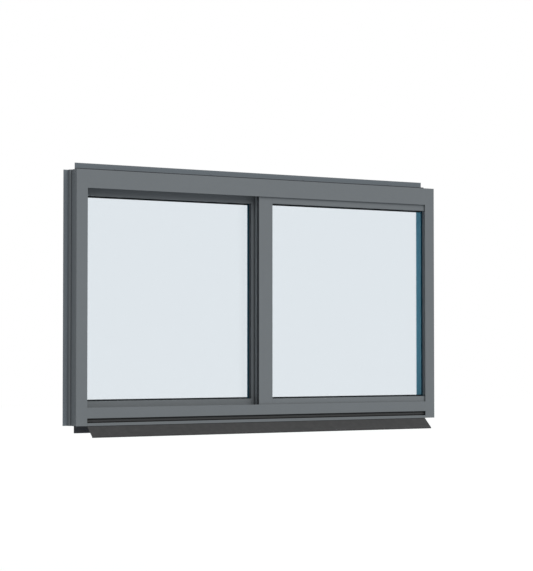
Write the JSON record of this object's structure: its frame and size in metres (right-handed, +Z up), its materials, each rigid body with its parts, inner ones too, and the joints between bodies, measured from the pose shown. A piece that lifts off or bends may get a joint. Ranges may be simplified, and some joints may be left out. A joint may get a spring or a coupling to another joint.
{
  "type": "horizontal sliding window",
  "caption": "Wide framed window whose glazed sashes slide past each other on rails, with fixing fins round the frame and a sloping drip below the sill.",
  "frame": {"origin": "on the back face of the sill fin, at the middle of its row of screw holes", "axes": "+X along the sill, to the right as seen from outside; +Y from outside to inside; +Z up"},
  "size_m": [1.74, 0.148, 1.042],
  "materials": {
    "frame_paint": "satin grey powder coat",
    "sash_paint": "satin grey powder coat",
    "dark_trim": "matt charcoal",
    "gasket_rubber": "matt black",
    "buffer_rubber": "matt blue-green",
    "rail_steel": "brushed stainless",
    "clear_glass": "clear",
    "spacer_metal": "mill finish",
    "roller_plastic": "nylon",
    "lock_metal": "satin grey"
  },
  "bodies": {
    "frame": {"head": "frame_paint", "inner_rail_cap": "rail_steel", "left_buffer": "buffer_rubber", "left_jamb": "frame_paint", "outer_rail_cap": "rail_steel", "right_buffer": "buffer_rubber", "right_jamb": "frame_paint", "sill": "frame_paint", "sill_drip": "dark_trim", "slot_liner": "dark_trim"},
    "outer_sash": {"lock_keeper": "rail_steel", "outer_bottom_rail": "sash_paint", "outer_guides": "dark_trim", "outer_inside_gasket": "gasket_rubber", "outer_inside_pane": "clear_glass", "outer_lock_stile": "sash_paint", "outer_meeting_stile": "sash_paint", "outer_outside_gasket": "gasket_rubber", "outer_outside_pane": "clear_glass", "outer_rollers": "roller_plastic", "outer_spacer": "spacer_metal", "outer_top_rail": "sash_paint"},
    "inner_sash": {"inner_bottom_rail": "sash_paint", "inner_guides": "dark_trim", "inner_inside_gasket": "gasket_rubber", "inner_inside_pane": "clear_glass", "inner_lock_stile": "sash_paint", "inner_meeting_stile": "sash_paint", "inner_outside_gasket": "gasket_rubber", "inner_outside_pane": "clear_glass", "inner_pull": "lock_metal", "inner_rollers": "roller_plastic", "inner_spacer": "spacer_metal", "inner_top_rail": "sash_paint", "lock_base": "lock_metal", "lock_lever": "lock_metal"}
  },
  "joints": [
    {"name": "outer_sash_slide", "type": "slide", "parent": "frame", "child": "outer_sash", "axis": [-1, 0, 0], "range_m": [0, 0.79]},
    {"name": "inner_sash_slide", "type": "slide", "parent": "frame", "child": "inner_sash", "axis": [1, 0, 0], "range_m": [0, 0.79]}
  ]
}
